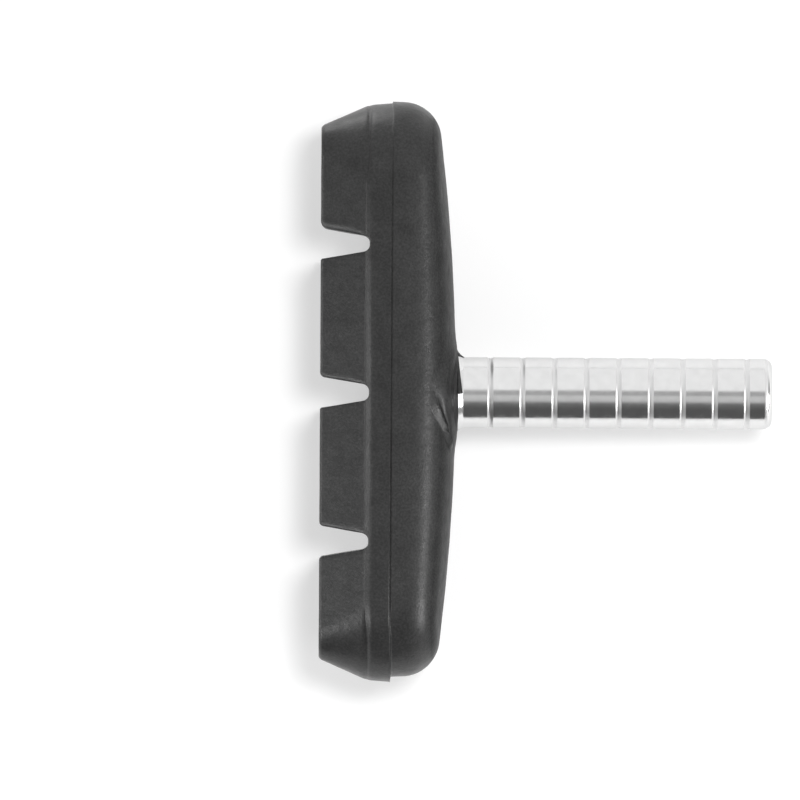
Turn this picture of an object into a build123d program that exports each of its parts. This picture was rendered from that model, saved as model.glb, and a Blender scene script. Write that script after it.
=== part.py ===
"""Moulded rubber rim brake pad on a plain 7 mm steel post, for a cantilever brake.

All sizes are in millimetres. X runs along the post, out of the pad's back. Y runs along the rim. Z runs
across the pad, towards the hub. The origin is on the post's axis where the post leaves the rubber.
"""

import os

from build123d import *

os.makedirs("parts", exist_ok=True)

# Plan of the pad
pad_length = 57.5  # end to end along the rim
pad_width = 16.9  # across the base at mid-length
rim_radius = 287.0  # wheel axle to the middle of the braking track of a 26-inch rim
hub_flank_radius = 650.0  # the flank towards the hub is bowed less than the rim
end_flat = 2.1  # what the corners leave straight at each end

# Heights, from the braking face to the boss at the back
block_height = 4.5  # friction block, down to the ledge of the base
front_height = 2.6  # base from the ledge to the mould's parting plane
back_height = 6.4  # parting plane to the crest of the back
boss_rise = 0.15  # crest of the back to the top of the boss

# Base below the parting plane
base_draft = 0.15  # how much the base narrows towards the ledge
ledge_bevel = 0.3  # bevel along each flank of the ledge
ledge_bevel_end = 0.1  # the same at each end
ledge_bevel_depth = 0.5
flash_width = 0.26  # ridge of rubber, along the flank, where the two halves of the mould met
flash_proud = 0.12

# Friction block: what the ledge leaves, tapered to the braking face
rim_ledge = 0.1  # flat ledge on the flank away from the hub
hub_ledge = 0.55  # flat ledge on the flank towards the hub, at mid-length
end_ledge = 0.05
side_slope = 2.25  # how far each long side slopes in from the ledge to the edge of the face
end_slope = 1.9  # the same at each end
face_corner = 3.0
face_bevel = 0.25  # bevel round the braking face

# Drainage notches across the friction block
notch_count = 3
notch_pitch = 14.75
notch_depth = 4.85
notch_mouth = 3.05
notch_floor = 1.45
notch_mouth_bevel = 0.25
notch_floor_round = 0.6

# Crowned back
end_drop = 2.0  # how far the crown falls from mid-length to each end
crown_radius_middle = 15.0  # across the pad, at mid-length
crown_radius_end = 60.0  # across the pad, at the ends
crown_overhang = 1.5  # how far the crown passes each flank before the pad's plan trims it
back_draft_angle = 1.5
back_round = 3.8

# Conical boss round the post, and the lip of rubber squeezed up its neck
boss_land = 2.6  # ring of rubber round the neck
boss_fall = 0.1  # how far the ring falls from the lip to its rim
boss_margin = 0.67  # rubber left between the foot of the cone and each flank
boss_depth = 3.3
lip_width = 0.65
lip_height = 0.2

# Steel post
post_radius = 3.5
post_reach = 31.2  # from the rubber to the tip
post_tip_round = 0.8
groove_pitch = 3.2
groove_width = 0.6
groove_floor_width = 0.3
groove_depth = 0.2
neck_step = 0.3  # how much thinner the neck in the rubber is than the post
neck_reach = 0.3  # neck left bare between the rubber and the post
shoulder = 0.95  # step from the neck to the spigot, which seats on the plate
head_overlap = 1.35  # how far the peened head spreads past the spigot
head_height = 0.9

# Steel plate inside the rubber
plate_thickness = 1.6
plate_depth = 7.0  # from the braking face to the plate's front
plate_cover_side = 2.95  # rubber beside the plate
plate_cover_end = 5.75  # rubber past each end of the plate
plate_end_flat = 3.0  # what its corners leave straight at each end

# Places along the post's axis
crest_x = -boss_rise
parting_x = crest_x - back_height
ledge_x = parting_x - front_height
face_x = ledge_x - block_height
plate_front_x = face_x + plate_depth
plate_back_x = plate_front_x + plate_thickness

# Widths and radii that follow from the sizes above
half_width = pad_width / 2
base_corner = half_width - end_flat / 2
ledge_inset = base_draft + ledge_bevel
ledge_end_inset = base_draft + ledge_bevel_end
root_width = pad_width - 2 * ledge_inset - rim_ledge - hub_ledge
root_length = pad_length - 2 * ledge_end_inset - 2 * end_ledge
root_corner = base_corner - ledge_inset
edge_width = root_width - 2 * side_slope
edge_length = root_length - 2 * end_slope
block_shift = (hub_ledge - rim_ledge) / 2
crown_side = half_width + crown_overhang
neck_radius = post_radius - neck_step
lip_radius = neck_radius + lip_width
boss_top_radius = neck_radius + boss_land
boss_foot_radius = half_width - boss_margin
spigot_radius = neck_radius - shoulder
plate_length = pad_length - 2 * plate_cover_end
plate_width = pad_width - 2 * plate_cover_side
groove_count = int((post_reach - groove_pitch / 2) // groove_pitch)


def arch_height(radius, half_span):
    """Rise of a circular arch of the given radius above its feet."""
    return radius - (radius**2 - half_span**2) ** 0.5


def base_outline(x, side_inset, end_inset):
    """Plan of the base at x: one flank bowed like the rim, the flank towards the hub nearly straight."""
    with BuildSketch(Plane.YZ.offset(x)) as outline:
        with Locations((0, rim_radius)):
            Circle(rim_radius + half_width - side_inset)
        with Locations((0, hub_flank_radius + half_width - side_inset)):
            Circle(hub_flank_radius, mode=Mode.SUBTRACT)
        Rectangle(pad_length - 2 * end_inset, 2 * pad_width, mode=Mode.INTERSECT)
        fillet(outline.vertices(), base_corner)
    return outline.sketch


def block_outline(x, length, width, corner):
    """Plan of the friction block at x: both long sides are arcs about the wheel's axle."""
    with BuildSketch(Plane.YZ.offset(x)) as outline:
        with Locations((0, rim_radius)):
            Circle(rim_radius + block_shift + width / 2)
            Circle(rim_radius + block_shift - width / 2, mode=Mode.SUBTRACT)
        Rectangle(length, 2 * pad_width, mode=Mode.INTERSECT)
        fillet(outline.vertices(), corner)
    return outline.sketch


def crown_section(y, top_x, radius):
    """Cross-section of the crowned back at y: an arch over a plain block wider than the pad."""
    foot_x = top_x - arch_height(radius, crown_side)
    with BuildSketch(Plane.XZ.offset(-y)) as section:
        with BuildLine():
            back = ThreePointArc((foot_x, -crown_side), (top_x, 0), (foot_x, crown_side))
            Polyline(back @ 1, (face_x, crown_side), (face_x, -crown_side), back @ 0)
        make_face()
    return section.sketch


with BuildPart() as backing_plate:
    with BuildSketch(Plane.YZ.offset(plate_front_x)):
        RectangleRounded(plate_length, plate_width, (plate_width - plate_end_flat) / 2)
        Circle(spigot_radius, mode=Mode.SUBTRACT)
    extrude(amount=plate_thickness)

with BuildPart() as mounting_post:
    with BuildSketch(Plane.XY) as post_section:
        with BuildLine():
            head = TangentArc(
                (plate_front_x - head_height, 0),
                (plate_front_x, spigot_radius + head_overlap),
                tangent=(0, 1),
            )
            Polyline(
                head @ 1,
                (plate_front_x, spigot_radius),
                (plate_back_x, spigot_radius),
                (plate_back_x, neck_radius),
                (neck_reach, neck_radius),
                (neck_reach, post_radius),
                (post_reach, post_radius),
                (post_reach, 0),
                head @ 0,
            )
        make_face()
        fillet(post_section.vertices().group_by(Axis.X)[-1].sort_by(Axis.Y)[-1], post_tip_round)
        with Locations((groove_pitch * (groove_count + 1) / 2, post_radius)):
            with GridLocations(groove_pitch, 0, groove_count, 1):
                Polygon(
                    (-groove_width / 2, 0),
                    (-groove_floor_width / 2, -groove_depth),
                    (groove_floor_width / 2, -groove_depth),
                    (groove_width / 2, 0),
                    align=None,
                    mode=Mode.SUBTRACT,
                )
    revolve(axis=Axis.X)

parting_outline = base_outline(parting_x, 0, 0)
flash_outlines = [
    base_outline(parting_x - flash_width, flash_proud, flash_proud),
    base_outline(parting_x, -flash_proud, -flash_proud),
    base_outline(parting_x + flash_width, flash_proud, flash_proud),
]
bevel_outline = base_outline(ledge_x + ledge_bevel_depth, base_draft, base_draft)
ledge_outline = base_outline(ledge_x, ledge_inset, ledge_end_inset)
root_outline = block_outline(ledge_x, root_length, root_width, root_corner)
edge_outline = block_outline(face_x + face_bevel, edge_length, edge_width, face_corner)
face_outline = block_outline(
    face_x, edge_length - 2 * face_bevel, edge_width - 2 * face_bevel, face_corner - face_bevel
)
crown_end_x = crest_x - end_drop
crown_sections = [
    crown_section(-pad_length / 2, crown_end_x, crown_radius_end),
    crown_section(0, crest_x, crown_radius_middle),
    crown_section(pad_length / 2, crown_end_x, crown_radius_end),
]
end_flank_height = crown_end_x - arch_height(crown_radius_end, half_width) - parting_x

with BuildPart() as brake_block:
    # Back half: the base's plan, drafted, under the crown, and rounded all the way round the crown's edge
    extrude(parting_outline, amount=back_height + boss_rise, taper=back_draft_angle)
    loft(crown_sections, mode=Mode.INTERSECT)
    fillet(brake_block.faces().sort_by(Axis.X)[-1].edges(), min(back_round, end_flank_height))

    # Boss round the post, which stands out of the crown with a sharp crease, and the lip at its top
    with BuildSketch(Plane.XY):
        Polygon(
            (lip_height, 0),
            (lip_height, neck_radius),
            (0, lip_radius),
            (-boss_fall, boss_top_radius),
            (-boss_depth, boss_foot_radius),
            (-boss_depth, 0),
            align=None,
        )
    revolve(axis=Axis.X)

    # Front half of the base, the bevel at its ledge, and the friction block that tapers to the face
    loft([parting_outline, bevel_outline, ledge_outline], ruled=True)
    loft([root_outline, edge_outline, face_outline], ruled=True)

    # Notches, with the open space in front of the face, so that their mouths can be bevelled
    with BuildSketch(Plane.XY) as notches:
        with Locations((face_x, 0)):
            Rectangle(notch_depth, 2 * pad_length, align=(Align.MAX, Align.CENTER))
            with GridLocations(0, notch_pitch, 1, notch_count):
                Polygon(
                    (0, -notch_mouth / 2),
                    (notch_depth, -notch_floor / 2),
                    (notch_depth, notch_floor / 2),
                    (0, notch_mouth / 2),
                    align=None,
                )
        fillet(notches.vertices().group_by(Axis.X)[-1], notch_floor_round)
        chamfer(notches.vertices().group_by(Axis.X)[1], notch_mouth_bevel)
    extrude(amount=pad_width, both=True, mode=Mode.SUBTRACT)

    # Mould line, a ridge that starts as far inside the flank as it stands proud
    loft(flash_outlines, ruled=True)

    # The rubber is moulded round the plate and the post
    add(backing_plate.part, mode=Mode.SUBTRACT)
    add(mounting_post.part, mode=Mode.SUBTRACT)

backing_plate.part.label = "backing_plate"
mounting_post.part.label = "mounting_post"
brake_block.part.label = "brake_block"

export_step(backing_plate.part, "parts/backing_plate.step")
export_step(mounting_post.part, "parts/mounting_post.step")
export_step(brake_block.part, "parts/brake_block.step")
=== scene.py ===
"""Looks of the rim brake pad: its moulded rubber block, its turned steel post and a plain white studio.

Sizes are in millimetres until the meshes are made. X runs along the post, Y along the rim, Z towards the
hub. The near end of the pad is at -Y, the far end at +Y. Angles round the post are in degrees, +Y to +Z.
"""

import math

import bmesh
import bpy
import numpy as np
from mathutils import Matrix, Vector, noise


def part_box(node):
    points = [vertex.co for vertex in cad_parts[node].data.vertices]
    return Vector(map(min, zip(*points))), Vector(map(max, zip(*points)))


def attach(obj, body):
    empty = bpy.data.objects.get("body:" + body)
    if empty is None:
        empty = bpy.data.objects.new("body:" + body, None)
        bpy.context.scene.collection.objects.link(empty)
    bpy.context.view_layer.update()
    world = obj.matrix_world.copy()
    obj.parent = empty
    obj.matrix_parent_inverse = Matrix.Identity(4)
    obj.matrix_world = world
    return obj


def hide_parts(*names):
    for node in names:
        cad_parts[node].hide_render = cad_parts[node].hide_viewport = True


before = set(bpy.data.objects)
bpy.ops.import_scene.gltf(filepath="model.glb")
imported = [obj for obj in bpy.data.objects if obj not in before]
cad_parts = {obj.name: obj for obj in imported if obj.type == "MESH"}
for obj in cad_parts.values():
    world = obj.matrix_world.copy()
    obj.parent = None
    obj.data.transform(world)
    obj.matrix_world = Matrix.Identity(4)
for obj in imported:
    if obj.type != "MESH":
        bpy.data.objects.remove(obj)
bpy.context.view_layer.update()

MM = 0.001

block_low, block_high = (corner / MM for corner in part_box("brake_block"))
post_low, post_high = (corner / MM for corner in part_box("mounting_post"))
plate_low, plate_high = (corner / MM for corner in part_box("backing_plate"))

# The pad's plan
flash_proud = 0.12  # how far the CAD's mould line stands past the flanks
half_length = block_high.y - flash_proud
half_width = -block_low.z - flash_proud
rim_radius = 287.0
hub_flank_radius = 650.0
end_flat = 2.1  # what the corners leave straight at each end
base_corner = half_width - end_flat / 2
front_short = 0.03  # how much shorter than in the CAD each half of the mould is, at each end
back_short = 0.2
front_end = half_length - front_short
back_end = half_length - back_short
front_shift = -0.06  # the mould's two halves closed a little out of line along the rim
back_shift = 0.28

# Heights along the post's axis
face_bevel = 0.25
block_height = 4.5
front_height = 2.6
back_height = 6.4
face_x = block_low.x
edge_x = face_x + face_bevel
ledge_x = face_x + block_height
parting_x = ledge_x + front_height
crest_x = parting_x + back_height

# Mould line: a fine groove along the flanks, fainter towards the far end, and a nub at each end
flash_half_width = 0.09
flash_depth_near = 0.125
flash_depth_far = 0.085
flash_nub = 0.1
flash_round = 0.03
back_foot_x = parting_x + flash_half_width

# Friction block, and the ledge of the base round its root
base_draft = 0.15
ledge_bevel = 0.3
ledge_bevel_end = 0.1
ledge_bevel_depth = 0.65
rim_ledge = 0.1
hub_ledge = 0.55
end_ledge = 0.05
ledge_hub_inset = 0.85  # from the hub flank to the edge of the ledge, at mid-length
ledge_hub_bow = 320.0  # radius of that edge
ledge_reach = 20.5  # from mid-length to where the ledge starts to fade into the end's slope
ledge_fade = 4.0
ledge_end_rise = 0.3
side_slope = 2.25
end_slope = 1.9
face_corner = 3.0
face_margin = 0.7  # ring of faces round the braking face, inside its bevel
face_round = 0.15  # of both edges of that bevel
root_round = 0.4
ledge_round = 0.12
ledge_bevel_round = 0.3
ledge_inset = base_draft + ledge_bevel
ledge_end_inset = base_draft + ledge_bevel_end
root_half_width = half_width - ledge_inset - (rim_ledge + hub_ledge) / 2
root_end = front_end - ledge_end_inset - end_ledge
root_corner = base_corner - ledge_inset
block_shift = (hub_ledge - rim_ledge) / 2

# Notches
notch_pitch = 14.75
notch_depth = 4.85
notch_floor_half = 0.725
notch_mouth_half = 1.525
notch_floor_round = 0.7
near_mouth_rounds = (0.4, 0.25, 0.25)  # of each notch, on its side towards the near end
far_mouth_rounds = (0.5, 0.55, 0.8)
least_mouth_round = 1e-3
mouth_share = 0.4  # of a notch's depth, which its mouth's radius never passes
foot_share = 0.9  # of the way to the mouth, which the floor's round never passes
notch_clear = 3.2  # from the middle of an outer notch to the plain part of the flank
notch_centres = (-notch_pitch, 0.0, notch_pitch)
notch_floor_x = face_x + notch_depth

# Crowned back
end_drop = 2.0
crown_radius_middle = 15.0
crown_radius_end = 60.0
draft_inset = 0.04  # how far the drafted flank leans in, up to the shoulder
end_round = 3.8
side_round = 5.4  # at mid-length, from where it falls to end_round
side_round_reach = 24.0
least_flank = 0.05  # flank that the shoulder leaves, at least

# Boss round the post
boss_radius = 5.8
boss_arch = 24.0  # radius of its top, across the pad
boss_fall = 0.1
boss_foot_radius = 7.78
boss_foot_x = -3.3
boss_edge = 0.35  # width over which the edge of its top is soft
boss_skirt = 0.1  # how far its cone goes on past its foot
boss_squeeze = 1.045  # how much narrower it is towards the hub
no_boss_x = -1e3  # stands for no boss

# Crease at the foot of the boss, and the bead of rubber beside it
sharp_angle = 122
sharp_spread = 50
sharp_width = 0.12
soft_width = 1.0  # what the rest of the crease has more
soft_share = 0.95  # of the boss's own part of a path, which the softening never passes
bead_spread = 34
bead_slope = 0.26  # how steeply it falls away from the crease
peak_angle = 136  # where the bead is highest
peak_spread = 20
peak_slope = 0.22
bead_reach = 1.15
bead_start = 0.15  # width over which it rises from the crease

# Neck of the post, and the uneven lip of rubber that was squeezed up round it
neck_radius = 3.2
post_radius = 3.5
flare_reach = 0.6  # the post widens into the rubber from here
flare_slope = 0.6
lip_radius = 4.3
lip_gap = 0.02  # between the lip and the post
lip_fold = 0.03  # how far the skin goes down inside the lip's edge, and below the flare
lip_power = 3
lip_least = 0.02
lip_climb = 0.5  # on the hub side, up to where the lip tore
lip_climb_start = -20
lip_climb_end = 90
lip_tear = 92
lip_swell = 0.1  # on the rim side
lip_swell_angle = 260
lip_swell_spread = 80
spur_height = 0.62
spur_angle = 8
spur_spread = 14
spur_power = 1.4
neck_support = 0.1  # depth of a loop that keeps the hole's edge crisp

# Uneven skin: how far it lies in from the smooth shape, and its waves, each with features per millimetre
skin_sink = 0.024
skin_wave, wave_scale = 0.018, 0.35
skin_ripple, ripple_scale = 0.006, 1.3

# Post
tip_round = 0.85
tip_ring = 1.2  # radius of a loop on the flat tip
groove_count = 9
groove_pitch = 3.18
groove_depth = 0.1
groove_rise = 0.46  # its gentle wall, towards the tip
groove_drop = 0.27  # its steep wall, towards the rubber
groove_lead = 1.6  # from a groove to the loop between it and the next one
flare_supports = (0.06, 0.02)  # loops just outside the flare, which keep its edge crisp
neck_bevel = 0.02
spigot_radius = 2.25
head_radius = 3.6

# Steps of the meshes, and how they are spread
corner_steps = 16
end_steps = 11
notch_steps = 8
rib_steps = 41  # between two notches
clear_steps = 6  # past an outer notch
tail_steps = 12  # from there to the corner
bend_steps = 4
draft_steps = 4
shoulder_steps = 89
crown_steps = 159
crease_steps = 47  # of the final rings, from the shoulder's foot to the crease
boss_steps = 19
lip_steps = 8
shoulder_passes = 12
probe = 0.01
bend_share = 0.45  # of the way to the next ring, which a round never passes
support_share = 0.92  # where the ring lies that keeps the front flank's shading flat
crowding = 1.5  # power that draws the steps of a path together towards its end
post_segments = 144
tip_steps = 11
rise_steps = 10
drop_steps = 8
flare_steps = 6
head_steps = 8


def arch(radius, span):
    """How far an arch of the given radius has fallen at span from its crest."""
    return radius - np.sqrt(radius**2 - span**2)


def smooth_min(a, b, width):
    """The smaller of two heights, with the crease between them softened over width."""
    return (a + b - np.sqrt((a - b) ** 2 + width**2)) / 2


def swell(angle, middle, spread):
    """A smooth bump round the post: 1 at its middle angle, 0 past its spread."""
    away = np.abs((angle - middle + 180) % 360 - 180)
    return np.cos(np.clip(away / spread, 0, 1) * math.pi / 2) ** 2


def bend(start, corner, stop, share):
    """Point at a share of the curve that rounds the corner between start and stop."""
    return (1 - share) ** 2 * start + 2 * share * (1 - share) * corner + share**2 * stop


def lay(level, loop):
    """Points (x, y, z) of a loop of points (y, z), all at one level or each at its own."""
    return np.column_stack([np.broadcast_to(level, len(loop)), loop])


# Notch profile: a flat floor, a round on each side of it and straight walls that open towards the face
wall_run = (notch_mouth_half - notch_floor_half) / (notch_floor_x - face_x)
wall_angle = math.atan2(1, wall_run)
flat_half = notch_floor_half - notch_floor_round * math.tan(wall_angle / 2)
wall_foot = flat_half + notch_floor_round * math.sin(wall_angle)
wall_foot_x = notch_floor_x - notch_floor_round * (1 - math.cos(wall_angle))


def mouth_half(level):
    """Half the notch's width where it opens through a surface at the given level."""
    depth = np.clip(notch_floor_x - level, 0, notch_floor_round)
    on_round = np.sqrt(np.maximum(notch_floor_round**2 - (notch_floor_round - depth) ** 2, 0))
    on_wall = wall_foot + (wall_foot_x - level) * wall_run
    return np.where(level < wall_foot_x, on_wall, flat_half + on_round)


def mouth_round(level, size):
    """Radius of a notch's mouth, which shrinks where the notch gets shallow."""
    return np.clip(mouth_share * (notch_floor_x - level), least_mouth_round, size)


def notch_stations(level, size):
    """Places from a notch's middle outwards that follow its profile at the given level."""
    mouth = float(mouth_half(np.float64(level)))
    round_size = float(mouth_round(np.float64(level), size))
    reach = mouth + round_size * math.tan(wall_angle / 2)
    lead = reach - round_size * math.sin(wall_angle)
    foot = min(wall_foot, foot_share * lead)
    turn = math.asin(min(1.0, (foot - flat_half) / notch_floor_round))
    floor_arc = flat_half + notch_floor_round * np.sin(np.linspace(0, turn, notch_steps + 1))
    wall = np.linspace(foot, lead, notch_steps + 1)[1:-1]
    mouth_arc = reach - round_size * np.sin(np.linspace(wall_angle, 0, notch_steps + 1))
    return np.concatenate([[flat_half / 2], floor_arc, wall, mouth_arc])


def flank_stations(level):
    """Places along the flanks, between the corners, that follow the notches at the given level."""
    runs = []
    for centre, near, far in zip(notch_centres, near_mouth_rounds, far_mouth_rounds):
        below = centre - notch_stations(level, near)[::-1]
        above = centre + notch_stations(level, far)
        runs.append(np.concatenate([below, [centre], above]))
    parts = [runs[0]]
    for run in runs[1:]:
        parts += [np.linspace(parts[-1][-1], run[0], rib_steps + 1)[1:-1], run]
    reach = notch_centres[-1] + notch_clear
    lead = np.linspace(-reach, runs[0][0], clear_steps + 1)[:-1]
    tail = np.linspace(runs[-1][-1], reach, clear_steps + 1)[1:]
    return np.concatenate([lead, *parts, tail])


face_stations = flank_stations(face_x)
base_stations = flank_stations(ledge_x)


def outline(stations, end, corner, hub, rim):
    """Closed loop of points (y, z): hub flank, far end, rim flank, near end.

    Each flank is an arc, given as (z of its centre, radius).
    """
    centre_y = end - corner
    hub_z = hub[0] - math.sqrt((hub[1] + corner) ** 2 - centre_y**2)
    rim_z = rim[0] - math.sqrt((rim[1] - corner) ** 2 - centre_y**2)
    hub_tangent = centre_y * hub[1] / (hub[1] + corner)
    rim_tangent = centre_y * rim[1] / (rim[1] - corner)

    def flank(tangent, arc):
        out = np.linspace(stations[-1], tangent, tail_steps + 1)[1:]
        y = np.concatenate([-out[::-1], stations, out])
        return np.column_stack([y, arc[0] - np.sqrt(arc[1] ** 2 - y**2)])

    def corner_arc(centre_z, turn):
        return np.column_stack([centre_y + corner * np.cos(turn), centre_z + corner * np.sin(turn)])

    hub_turn = np.linspace(math.atan2(hub[0] - hub_z, -centre_y), 0, corner_steps + 1)[1:]
    rim_turn = np.linspace(0, math.atan2(rim_z - rim[0], centre_y), corner_steps + 1)[:-1]
    straight = lay(end, np.linspace(hub_z, rim_z, end_steps + 2)[1:-1])
    far = np.concatenate([corner_arc(hub_z, hub_turn), straight, corner_arc(rim_z, rim_turn)])
    near = far[::-1] * (-1, 1)
    return np.concatenate([flank(hub_tangent, hub), far, flank(rim_tangent, rim)[::-1], near])


def base_ring(level, end, hub_inset, rim_inset, bow=hub_flank_radius):
    """Loop round the base at the given level, its flanks set in: bow is the radius of the hub flank."""
    hub = (bow + half_width - hub_inset, bow)
    rim = (rim_radius, rim_radius + half_width - rim_inset)
    return lay(level, outline(base_stations, end, base_corner, hub, rim))


def block_ring(level, stations, slope, inset):
    """Loop round the friction block: slope runs from 0 at its root to 1 at the edge of the face."""
    reach = root_half_width - slope * side_slope - inset
    end = root_end - slope * end_slope - inset
    corner = root_corner + slope * (face_corner - root_corner) - inset
    middle = rim_radius + block_shift
    hub, rim = (rim_radius, middle - reach), (rim_radius, middle + reach)
    return lay(level, outline(stations, end, corner, hub, rim))


def rounded(controls):
    """Rings through control rings. Each is given as (ring, radius to round it by, steps up to it)."""
    rings = [controls[0][0]]
    for (before, *_), (here, radius, steps), (after, *_) in zip(controls, controls[1:], controls[2:]):
        share_in = np.minimum(radius / np.linalg.norm(here - before, axis=1), bend_share)[:, None]
        share_out = np.minimum(radius / np.linalg.norm(here - after, axis=1), bend_share)[:, None]
        start = here + (before - here) * share_in
        stop = here + (after - here) * share_out
        leave = rings[-1]
        rings += [leave + (start - leave) * share for share in np.linspace(0, 1, steps + 1)[1:-1]]
        rings += [bend(start, here, stop, share) for share in np.linspace(0, 1, bend_steps + 1)]
    last, _, steps = controls[-1]
    leave = rings[-1]
    rings += [leave + (last - leave) * share for share in np.linspace(0, 1, steps + 1)[1:]]
    return rings


def cut_notches(points):
    """Points of the front with each one that lies in a notch moved to the notch's wall or floor."""
    level, y, z = points.T
    x = level.copy()
    for centre, near, far in zip(notch_centres, near_mouth_rounds, far_mouth_rounds):
        away = np.abs(y - centre)
        size = mouth_round(level, np.where(y < centre, near, far))
        reach = mouth_half(level) + size * math.tan(wall_angle / 2)
        lead = reach - size * math.sin(wall_angle)
        on_round = np.clip(away - flat_half, 0, notch_floor_round)
        profile = np.where(
            away < wall_foot,
            notch_floor_x - notch_floor_round + np.sqrt(notch_floor_round**2 - on_round**2),
            wall_foot_x - (away - wall_foot) / wall_run,
        )
        arc = level + size - np.sqrt(np.maximum(size**2 - (reach - away) ** 2, 0))
        cut = np.where(away < lead, profile, arc)
        x = np.where((away < reach) & (level < notch_floor_x), np.maximum(cut, level), x)
    return np.column_stack([x, y, z])


def crown(spots):
    """Height of the crowned back over points (y, z)."""
    share = (spots[:, 0] / half_length) ** 2
    middle = crest_x - arch(crown_radius_middle, spots[:, 1])
    end = crest_x - end_drop - arch(crown_radius_end, spots[:, 1])
    return middle + share * (end - middle)


def boss(spots):
    """Height of the conical boss over points (y, z): its top is arched across the pad, its edge soft."""
    y, z = spots[..., 0], spots[..., 1]
    radius = np.hypot(y, z * np.where(z > 0, boss_squeeze, 1.0))
    land = -boss_fall * (radius - lip_radius) / (boss_radius - lip_radius) - arch(boss_arch, z)
    fall = (boss_foot_x + boss_fall) / (boss_foot_radius - boss_radius)
    cone = -boss_fall + (radius - boss_radius) * fall
    return np.where(radius < boss_foot_radius + boss_skirt, smooth_min(land, cone, boss_edge), no_boss_x)


def lip(angle):
    """How high the rubber was squeezed up the post: most on the hub side, where it tore."""
    climb = np.clip((angle - lip_climb_start) / (lip_climb_end - lip_climb_start), 0, 1) ** 2
    climb = np.where(angle < lip_tear, climb, 0)
    return lip_least + lip_climb * climb + lip_swell * swell(angle, lip_swell_angle, lip_swell_spread)


def along(path, place):
    """Points of every path at its own place, counted in steps of the path."""
    low = np.minimum(place.astype(int), len(path) - 2)
    share = (place - low)[:, None]
    every = np.arange(path.shape[1])
    return path[low, every] * (1 - share) + path[low + 1, every] * share


def at_gap(gap, gaps, run):
    """Point at a gap from the crease on a run of points, whose own gaps grow along it."""
    return np.array([np.interp(gap, gaps, values) for values in run.T])


def soften_crease(outer, inner, widths):
    """Bend the rings outside and inside the crease into one curve, over each path's own width."""
    crease_line = outer[-1].copy()
    gap_outer = np.linalg.norm(outer - crease_line, axis=2)
    gap_inner = np.linalg.norm(inner - crease_line, axis=2)
    for column, width in enumerate(widths):
        width_in = min(width, soft_share * gap_inner[-1, column])
        start = at_gap(width, gap_outer[::-1, column], outer[::-1, column])
        stop = at_gap(width_in, gap_inner[:, column], inner[:, column])
        for rings, share in (
            (outer, 0.5 - 0.5 * gap_outer[:, column] / width),
            (inner, 0.5 + 0.5 * gap_inner[:, column] / width_in),
        ):
            close = (share >= 0) & (share <= 1)
            rings[close, column] = bend(start, crease_line[column], stop, share[close, None])


# Front half: braking face, sloping sides, ledge and the flank up to the mould line
ledge_ring = base_ring(ledge_x, front_end - ledge_end_inset, ledge_hub_inset, ledge_inset, ledge_hub_bow)
ledge_ring[:, 0] += ledge_end_rise * np.clip((np.abs(ledge_ring[:, 1]) - ledge_reach) / ledge_fade, 0, 1)
bevel_ring = base_ring(ledge_x + ledge_bevel_depth, front_end - base_draft, base_draft, base_draft)
front = rounded(
    [
        (block_ring(face_x, face_stations, 1, face_bevel + face_margin), 0, 0),
        (block_ring(face_x, face_stations, 1, face_bevel), face_round, 2),
        (block_ring(edge_x, face_stations, 1, 0), face_round, 1),
        (block_ring(ledge_x, base_stations, 0, 0), root_round, 12),
        (ledge_ring, ledge_round, 2),
        (bevel_ring, ledge_bevel_round, 2),
        (base_ring(parting_x - flash_half_width, front_end, 0, 0), 0, 8),
    ]
)
front = [cut_notches(ring) + (0, front_shift, 0) for ring in front]
front.insert(-1, front[-2] + (front[-1] - front[-2]) * support_share)

# Mould line
mould_line = base_ring(parting_x, half_length + flash_nub, flash_depth_near, flash_depth_near)
faint_line = base_ring(parting_x, half_length + flash_nub, flash_depth_far, flash_depth_far)
mould_line += (faint_line - mould_line) * (1 + mould_line[:, 1:2] / half_length) / 2
back_foot = base_ring(back_foot_x, back_end, 0, 0) + (0, back_shift, 0)
flash = rounded([(front[-1], 0, 0), (mould_line, flash_round, 3), (back_foot, 0, 3)])[1:]

# Direction inwards from each point of the flank, from a loop that runs inside it
flank_loop = back_foot[:, 1:]
loop_size = len(flank_loop)
offset = 4.0  # how far inside it that loop runs
offset_loop = outline(
    base_stations,
    back_end - offset,
    base_corner - offset,
    (hub_flank_radius + half_width, hub_flank_radius + offset),
    (rim_radius, rim_radius + half_width - offset),
)
inward = (offset_loop + (back_shift, 0) - flank_loop) / offset

# Shoulder: each point of the flank gets an arc that meets the crown's slope
fullness = inward[:, 1] ** 2 * np.clip(1 - (flank_loop[:, 0] / side_round_reach) ** 2, 0, 1)
rounding = end_round + (side_round - end_round) * fullness
slope = np.zeros(loop_size)
for _ in range(shoulder_passes):
    reach = rounding * (1 - np.sin(slope))
    ahead = crown(flank_loop + inward * (reach + probe)[:, None])
    behind = crown(flank_loop + inward * (reach - probe)[:, None])
    slope = np.arctan2(ahead - behind, 2 * probe)
    rounding = np.minimum(rounding, ((ahead + behind) / 2 - back_foot_x - least_flank) / np.cos(slope))
tangent_loop = flank_loop + inward * (reach + draft_inset)[:, None]
tangent_radius = np.linalg.norm(tangent_loop, axis=1)
shoulder_x = crown(tangent_loop) - rounding * np.cos(slope)
angle = np.degrees(np.arctan2(tangent_loop[:, 1], tangent_loop[:, 0]))


def round_post(radius):
    """Loop of points (y, z) at a radius from the post's axis, each on its own path."""
    return tangent_loop * (radius / tangent_radius)[:, None]


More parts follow.
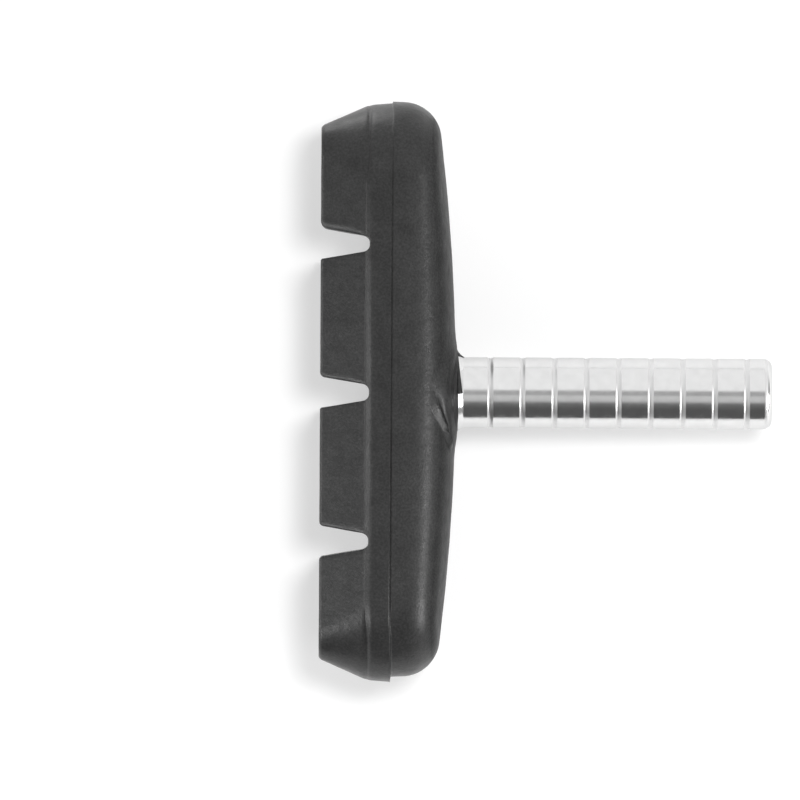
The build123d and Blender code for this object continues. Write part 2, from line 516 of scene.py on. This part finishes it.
# Path of each point from the flank over the shoulder and the crown to the foot of the lip
path = []
for share in np.linspace(0, 1, shoulder_steps + 1):
    turn = (math.pi / 2 - slope) * share
    inset = draft_inset + rounding * (1 - np.cos(turn))
    path.append(lay(shoulder_x + rounding * np.sin(turn), flank_loop + inward * inset[:, None]))
for share in np.linspace(1, 0, crown_steps + 1)[1:]:
    spots = round_post(lip_radius + (tangent_radius - lip_radius) * share**crowding)
    path.append(lay(crown(spots), spots))
path = np.array(path)

# Place on each path where it runs into the boss
clear = path[:, :, 0] - boss(path[:, :, 1:])
inside = np.argmax(clear < 0, axis=0)
every = np.arange(loop_size)
clear_outside, clear_inside = clear[inside - 1, every], clear[inside, every]
crease = inside - 1 + clear_outside / (clear_outside - clear_inside)

# Rings of the back: the drafted flank, the shoulder and crown, and the boss
drafted = []
for share in np.linspace(0, 1, draft_steps + 1)[1:-1]:
    level = back_foot_x + (shoulder_x - back_foot_x) * share
    drafted.append(lay(level, flank_loop + inward * (draft_inset * share)))
shares = np.linspace(0, 1, crease_steps + 1)
to_crease = np.array([along(path, crease * (1 - (1 - share) ** crowding)) for share in shares])
shares = np.linspace(0, 1, boss_steps + 1)[1:]
on_boss = np.array([along(path, crease + (len(path) - 1 - crease) * share) for share in shares])
for ring in on_boss:
    ring[:, 0] = boss(ring[:, 1:])

# The crease is sharp on the near side of the post and flows into the crown elsewhere
crease_line = to_crease[-1].copy()
crease_width = sharp_width + soft_width * (1 - swell(angle, sharp_angle, sharp_spread))
soften_crease(to_crease, on_boss, crease_width)

# Lip, with a spur of torn rubber in line with the pad's far end
lip_height = lip(angle)
spur = spur_height * swell(angle, spur_angle, spur_spread)
lip_top = lip_height + spur
lip_inner = post_radius + lip_gap + flare_slope * np.clip(flare_reach - lip_top, 0, flare_reach)
lip_rings = []
for share in np.linspace(0, 1, lip_steps + 1)[1:]:
    spots = round_post(lip_radius + (lip_inner - lip_radius) * share)
    squeezed = lip_height * share**lip_power + spur * share**spur_power
    lip_rings.append(lay(boss(spots) * (1 - share) + squeezed, spots))

# Hole for the neck, closed where the post's shoulder meets the plate
flare_foot = round_post(post_radius + flare_slope * flare_reach + 2 * lip_gap)
neck_wall = round_post(neck_radius)
hole = [
    lay(lip_top - lip_fold, round_post(lip_inner)),
    lay(-lip_fold, flare_foot),
    lay(-lip_fold, neck_wall),
    lay(-neck_support, neck_wall),
    lay(plate_high.x, neck_wall),
]


def band(low, high, count):
    """Faces between two rings of count points, which start at the points low and high."""
    nexts = [(here + 1) % count for here in range(count)]
    return [(low + here, low + there, high + there, high + here) for here, there in enumerate(nexts)]


def fan(start, count, tip):
    """Faces between a ring of count points, which starts at the point start, and a single point."""
    return [(start + here, start + (here + 1) % count, tip) for here in range(count)]


def cross_row(points, hub_index, rim_index):
    """Row of new points across the braking face, from a point of its hub side to one of its rim side."""
    share = np.linspace(0, 1, end_steps + 2)[1:-1, None]
    row = points[hub_index] + (points[rim_index] - points[hub_index]) * share
    row[:, 0] = face_x
    start = len(points)
    points.extend(cut_notches(row - (0, front_shift, 0)) + (0, front_shift, 0))
    return [hub_index, *range(start, start + end_steps), rim_index]


def make_piece(name, points, faces):
    """A smooth mesh object of points in millimetres, with its faces turned outwards."""
    mesh = bpy.data.meshes.new(name)
    mesh.from_pydata([tuple(point * MM) for point in points], [], faces)
    shell = bmesh.new()
    shell.from_mesh(mesh)
    bmesh.ops.recalc_face_normals(shell, faces=shell.faces)
    shell.to_mesh(mesh)
    shell.free()
    mesh.polygons.foreach_set("use_smooth", [True] * len(mesh.polygons))
    mesh.update()
    piece = bpy.data.objects.new(name, mesh)
    bpy.context.scene.collection.objects.link(piece)
    return piece


# Block: all rings from the braking face to the bottom of the hole
rings = [*front, *flash, *drafted, *to_crease, *on_boss, *lip_rings, *hole]
points = [*np.concatenate(rings), np.array([plate_high.x, 0, 0])]
faces = []
for index in range(len(rings) - 1):
    faces += band(index * loop_size, (index + 1) * loop_size, loop_size)
faces += fan((len(rings) - 1) * loop_size, loop_size, len(points) - 1)

# Braking face: rows across the pad, from the near end to the far end, inside the first ring
flank_count = len(base_stations) + 2 * tail_steps
near_start = 2 * flank_count + 2 * corner_steps + end_steps  # first point of the near end
near_end = near_start + corner_steps  # first point of its straight part
far_end = flank_count + corner_steps  # the same of the far end
rows = [[loop_size - corner_steps, *reversed(range(near_end - 1, near_end + end_steps))]]
for hub_index in range(1 - corner_steps, far_end - 1):
    rows.append(cross_row(points, hub_index % loop_size, near_start - 1 - hub_index))
rows.append([*range(far_end - 1, far_end + end_steps + 1)])
for row, next_row in zip(rows, rows[1:]):
    for column in range(end_steps + 1):
        faces.append((row[column], row[column + 1], next_row[column + 1], next_row[column]))

block_piece = make_piece("moulded_block", points, faces)
block_mesh = block_piece.data


def read_vertices(mesh, attribute):
    """What every vertex has for an attribute of three numbers."""
    values = np.empty(3 * len(mesh.vertices))
    mesh.vertices.foreach_get(attribute, values)
    return values.reshape(-1, 3)


def unevenness(spot):
    """How far the skin stands out at a spot: never past the smooth shape, as noise stays within 1."""
    wave = skin_wave * noise.noise(spot * wave_scale)
    return -skin_sink - wave - skin_ripple * noise.noise(spot * ripple_scale)


# Moulding marks: an uneven skin, and the bead of rubber outside the sharp part of the crease
skin = read_vertices(block_mesh, "co") / MM
rise = np.array([unevenness(Vector(spot)) for spot in skin])
beside_start = (len(front) + len(flash)) * loop_size
beside_stop = beside_start + (len(drafted) + len(to_crease)) * loop_size
beside = skin[beside_start:beside_stop].reshape(-1, loop_size, 3)
away = np.linalg.norm(beside - crease_line, axis=2)
bead = np.clip(bead_reach - away, 0, bead_reach) * (1 - np.exp(-((away / bead_start) ** 2)))
steepness = bead_slope * np.clip(2 * swell(angle, sharp_angle, bead_spread), 0, 1)
steepness += peak_slope * swell(angle, peak_angle, peak_spread)
rise[beside_start:beside_stop] += (steepness * bead).ravel()
skin += read_vertices(block_mesh, "normal") * rise[:, None]
block_mesh.vertices.foreach_set("co", (skin * MM).ravel())
block_mesh.update()


def groove_radius(share):
    """Radius of the post at a share of the way from a groove's floor to its edge."""
    return post_radius - groove_depth * math.cos(share * math.pi / 2) ** 2


# Post: a turned profile of points (x, radius) from its tip to its peened head
tip_x = post_high.x
profile = [(tip_x, tip_ring)]
for turn in np.linspace(0, math.pi / 2, tip_steps + 1):
    radius = post_radius - tip_round * (1 - math.sin(turn))
    profile.append((tip_x - tip_round * (1 - math.cos(turn)), radius))
for place in groove_pitch * np.arange(groove_count, 0, -1):
    for share in np.linspace(1, 0, rise_steps + 1):
        profile.append((place + groove_rise * share, groove_radius(share)))
    for share in np.linspace(0, 1, drop_steps + 1)[1:]:
        profile.append((place - groove_drop * share, groove_radius(share)))
    profile.append((place - groove_lead, post_radius))
profile += [(flare_reach + support, post_radius) for support in flare_supports]
for share in np.linspace(0, 1, flare_steps + 1):
    profile.append((flare_reach * (1 - share), post_radius + flare_slope * flare_reach * share))
profile += [
    (-neck_bevel, neck_radius + neck_bevel),
    (-2 * neck_bevel, neck_radius),
    (plate_high.x, neck_radius),
    (plate_high.x, spigot_radius),
    (plate_low.x, spigot_radius),
    (plate_low.x, head_radius),
]
for turn in np.linspace(0, math.pi / 2, head_steps + 1)[1:-1]:
    level = plate_low.x - (plate_low.x - post_low.x) * math.sin(turn)
    profile.append((level, head_radius * math.cos(turn)))

turns = np.linspace(0, 2 * math.pi, post_segments, endpoint=False)
circle = np.column_stack([np.cos(turns), np.sin(turns)])
post_rings = [lay(x, radius * circle) for x, radius in profile]
post_points = [*np.concatenate(post_rings), np.array([tip_x, 0, 0]), np.array([post_low.x, 0, 0])]
last_ring = (len(post_rings) - 1) * post_segments
post_faces = fan(0, post_segments, len(post_points) - 2)
post_faces += fan(last_ring, post_segments, len(post_points) - 1)
for start in range(0, last_ring, post_segments):
    post_faces += band(start, start + post_segments, post_segments)
post_piece = make_piece("turned_post", post_points, post_faces)


# Materials
def new_material(name):
    """A node material, its node tree and its main shader."""
    material = bpy.data.materials.new(name)
    material.use_nodes = True
    tree = material.node_tree
    return material, tree, tree.nodes["Principled BSDF"]


def add_noise(tree, scale, detail, stretch=(1, 1, 1)):
    """Noise in object space: scale is in features per metre."""
    place = tree.nodes.new("ShaderNodeTexCoord")
    mapping = tree.nodes.new("ShaderNodeMapping")
    mapping.inputs["Scale"].default_value = stretch
    texture = tree.nodes.new("ShaderNodeTexNoise")
    texture.inputs["Scale"].default_value = scale
    texture.inputs["Detail"].default_value = detail
    tree.links.new(place.outputs["Object"], mapping.inputs["Vector"])
    tree.links.new(mapping.outputs["Vector"], texture.inputs["Vector"])
    return texture.outputs["Fac"]


def add_ramp(tree, source, stops):
    """Colour ramp over a value: stops are (place, grey)."""
    ramp = tree.nodes.new("ShaderNodeValToRGB")
    while len(ramp.color_ramp.elements) < len(stops):
        ramp.color_ramp.elements.new(0.5)
    for element, (place, grey) in zip(ramp.color_ramp.elements, stops):
        element.position = place
        element.color = (grey, grey, grey, 1)
    tree.links.new(source, ramp.inputs["Fac"])
    return ramp.outputs["Color"]


def add_mottle(tree, scale, detail, low, high):
    """Noise that runs from a low to a high grey."""
    return add_ramp(tree, add_noise(tree, scale, detail), [(0.3, low), (0.7, high)])


def add_math(tree, operation, *values):
    """A Math node on values that are sockets or numbers."""
    node = tree.nodes.new("ShaderNodeMath")
    node.operation = operation
    for value, socket in zip(values, node.inputs):
        if isinstance(value, (int, float)):
            socket.default_value = value
        else:
            tree.links.new(value, socket)
    return node.outputs[0]


def add_bump(tree, shader, height, depth, before=None):
    """Bump of the given depth in millimetres, after another one if there is one."""
    bump = tree.nodes.new("ShaderNodeBump")
    bump.inputs["Distance"].default_value = depth * MM
    tree.links.new(height, bump.inputs["Height"])
    if before is not None:
        tree.links.new(before, bump.inputs["Normal"])
    tree.links.new(bump.outputs["Normal"], shader.inputs["Normal"])
    return bump.outputs["Normal"]


def show_mix(tree, share, first, second, output):
    """Link a mix of two shaders to the tree's output: a share of 1 shows the second one alone."""
    mix = tree.nodes.new("ShaderNodeMixShader")
    for source, socket in zip((share, first, second), mix.inputs):
        tree.links.new(source, socket)
    tree.links.new(mix.outputs["Shader"], tree.nodes[output].inputs["Surface"])


# Rubber: worn charcoal. Its sheen is turned down where it faces out of the pad's back, a painted shade
# that dims the white floor's reflection along the back's rim
rubber, tree, shader = new_material("rubber")
facing = tree.nodes.new("ShaderNodeTexCoord")
parts = tree.nodes.new("ShaderNodeSeparateXYZ")
tree.links.new(facing.outputs["Normal"], parts.inputs["Vector"])
# painted shade: less reflection on the side that faces out of the back
sheen_with_painted_shade = add_ramp(tree, parts.outputs["X"], [(0.58, 0.32), (0.82, 0.03)])
tree.links.new(sheen_with_painted_shade, shader.inputs["Specular IOR Level"])
cloud = add_mottle(tree, 500, 4, 0.85, 1.15)
speck = add_ramp(tree, add_noise(tree, 4500, 2), [(0.3, 0.018), (0.5, 0.025), (0.7, 0.033)])
tree.links.new(add_math(tree, "MULTIPLY", cloud, speck), shader.inputs["Base Color"])
tree.links.new(add_mottle(tree, 800, 5, 0.32, 0.42), shader.inputs["Roughness"])
grain = add_bump(tree, shader, add_noise(tree, 7000, 3), 0.015)
add_bump(tree, shader, add_noise(tree, 1400, 2), 0.03, grain)

# Post: polished steel, rougher in the grooves, which lie closer to the post's axis
post_steel, tree, shader = new_material("post_steel")
shader.inputs["Metallic"].default_value = 1.0
shader.inputs["Specular Tint"].default_value = (0.8, 0.8, 0.8, 1)
tree.links.new(add_mottle(tree, 900, 5, 0.77, 0.82), shader.inputs["Base Color"])
polish = add_mottle(tree, 1500, 4, 0.12, 0.22)
place = tree.nodes.new("ShaderNodeTexCoord")
crosswise = tree.nodes.new("ShaderNodeMapping")
crosswise.inputs["Scale"].default_value = (0, 250, 250)  # 1 is 4 mm from the axis
tree.links.new(place.outputs["Object"], crosswise.inputs["Vector"])
from_axis = tree.nodes.new("ShaderNodeVectorMath")
from_axis.operation = "LENGTH"
tree.links.new(crosswise.outputs["Vector"], from_axis.inputs[0])
groove_stops = [(0.842, 0.0), (0.848, 0.42), (0.871, 0.42), (0.8745, 0.0)]
tool_marks = add_ramp(tree, from_axis.outputs["Value"], groove_stops)
tree.links.new(add_math(tree, "MAXIMUM", polish, tool_marks), shader.inputs["Roughness"])
add_bump(tree, shader, add_noise(tree, 6000, 2, (1, 0.05, 0.05)), 0.004)

plate_steel, tree, shader = new_material("plate_steel")
shader.inputs["Metallic"].default_value = 1.0
tree.links.new(add_mottle(tree, 600, 6, 0.34, 0.48), shader.inputs["Base Color"])
tree.links.new(add_mottle(tree, 900, 4, 0.4, 0.6), shader.inputs["Roughness"])
add_bump(tree, shader, add_noise(tree, 5000, 3), 0.01)

block_mesh.materials.append(rubber)
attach(block_piece, "root")
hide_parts("brake_block")

post_piece.data.materials.append(post_steel)
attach(post_piece, "root")
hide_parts("mounting_post")

plate_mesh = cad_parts["backing_plate"].data
plate_mesh.materials.clear()
plate_mesh.materials.append(plate_steel)

# Floor under the pad, which lies on its rim flank
floor_mesh = bpy.data.meshes.new("floor")
floor_reach = 3.0  # metres
floor_z = block_low.z * MM
floor_signs = [(-1, -1), (1, -1), (1, 1), (-1, 1)]
floor_corners = [(x * floor_reach, y * floor_reach, floor_z) for x, y in floor_signs]
floor_mesh.from_pydata(floor_corners, [], [(0, 1, 2, 3)])
floor = bpy.data.objects.new("floor", floor_mesh)
bpy.context.scene.collection.objects.link(floor)

# White paper: half of what is seen of it, straight or in the steel, is a glow that takes no shadow
paper, tree, shader = new_material("white_paper")
shader.inputs["Base Color"].default_value = (0.92, 0.92, 0.92, 1)
shader.inputs["Roughness"].default_value = 0.9
shader.inputs["Specular IOR Level"].default_value = 0.0
glow = tree.nodes.new("ShaderNodeEmission")
rays = tree.nodes.new("ShaderNodeLightPath")
seen = add_math(tree, "MAXIMUM", rays.outputs["Is Camera Ray"], rays.outputs["Is Glossy Ray"])
seen = add_math(tree, "MAXIMUM", seen, rays.outputs["Is Transmission Ray"])
glow_share = add_math(tree, "MULTIPLY", seen, 0.5)
show_mix(tree, glow_share, shader.outputs["BSDF"], glow.outputs["Emission"], "Material Output")
floor_mesh.materials.append(paper)

# Lamps: a key above, which is not mirrored, and four that draw the highlights. Their sizes are in metres
aim = Vector((-6, 0, 0)) * MM


def add_lamp(name, direction, distance, size, level):
    """A lamp of size (across, up) that lights a white surface facing it to the given level."""
    lamp = bpy.data.lights.new(name, "AREA")
    lamp.shape = "RECTANGLE"
    lamp.size, lamp.size_y = size
    lamp.energy = level * math.pi**2 * distance**2
    holder = bpy.data.objects.new(name, lamp)
    towards = Vector(direction).normalized()
    holder.location = aim + towards * distance
    holder.rotation_euler = towards.to_track_quat("Z", "Y").to_euler()
    bpy.context.scene.collection.objects.link(holder)
    return holder


key = add_lamp("key", (0.18, 0.15, 1), 0.6, (0.13, 0.13), 0.78)
key.visible_glossy = False
add_lamp("right", (0.86, -0.26, 0.285), 0.2, (0.09, 0.04), 0.55)
add_lamp("left_low", (-0.12, -0.022, 0.012), 0.123, (0.085, 0.016), 0.22)
add_lamp("left_high", (-0.11, -0.052, 0.068), 0.139, (0.045, 0.03), 0.3)
add_lamp("far_end", (-0.0095, 0.045, -0.003), 0.0461, (0.013, 0.0105), 0.055)

# Room: dim on the near side, white beyond the far end, and darker straight ahead and behind the pad.
# The camera sees plain white instead
world = bpy.data.worlds.new("studio")
world.use_nodes = True
tree = world.node_tree
place = tree.nodes.new("ShaderNodeTexCoord")
parts = tree.nodes.new("ShaderNodeSeparateXYZ")
tree.links.new(place.outputs["Generated"], parts.inputs["Vector"])
rim_share = add_math(tree, "MULTIPLY_ADD", parts.outputs["Y"], 0.5, 0.5)
post_share = add_math(tree, "MULTIPLY_ADD", parts.outputs["X"], 0.5, 0.5)
room = add_ramp(
    tree,
    rim_share,
    [(0.10, 0.10), (0.22, 0.18), (0.29, 0.6), (0.42, 0.66), (0.44, 0.42), (0.55, 0.42), (0.59, 1.0)],
)
sides = add_ramp(tree, rim_share, [(0.1, 0.25), (0.3, 0.4), (0.5, 0.8), (0.6, 0.95)])
sideways = add_ramp(tree, add_math(tree, "ABSOLUTE", parts.outputs["X"]), [(0.3, 0.0), (0.45, 1.0)])
walls = tree.nodes.new("ShaderNodeMixRGB")
tree.links.new(sideways, walls.inputs["Fac"])
tree.links.new(room, walls.inputs["Color1"])
tree.links.new(sides, walls.inputs["Color2"])
fade = add_ramp(tree, post_share, [(0.03, 0.3), (0.1, 0.5), (0.2, 1.0), (0.9, 1.0), (0.975, 0.3)])
rays = tree.nodes.new("ShaderNodeLightPath")
mirrored = add_math(tree, "MAXIMUM", rays.outputs["Is Glossy Ray"], rays.outputs["Is Transmission Ray"])
background = tree.nodes["Background"]
tree.links.new(add_math(tree, "MULTIPLY", walls.outputs["Color"], fade), background.inputs["Color"])
tree.links.new(add_math(tree, "MULTIPLY_ADD", mirrored, 0.6, 0.4), background.inputs["Strength"])
backdrop = tree.nodes.new("ShaderNodeBackground")
backdrop.inputs["Color"].default_value = (1, 1, 1, 1)
lit, plain = background.outputs["Background"], backdrop.outputs["Background"]
show_mix(tree, rays.outputs["Is Camera Ray"], lit, plain, "World Output")
bpy.context.scene.world = world

# Camera, straight above the pad as in the photograph
camera_x = -5.70
camera_y = -0.79
camera_turn = 0.32  # degrees
camera_distance = 2.0  # metres
frame_width = 79.4
lens = bpy.data.cameras.new("camera")
lens.sensor_width = 36
lens.lens = lens.sensor_width * camera_distance / (frame_width * MM)
camera = bpy.data.objects.new("camera", lens)
camera.location = (camera_x * MM, camera_y * MM, camera_distance)
camera.rotation_euler = (0, 0, math.radians(camera_turn))
bpy.context.scene.collection.objects.link(camera)
bpy.context.scene.camera = camera
bpy.context.scene.view_settings.view_transform = "Standard"
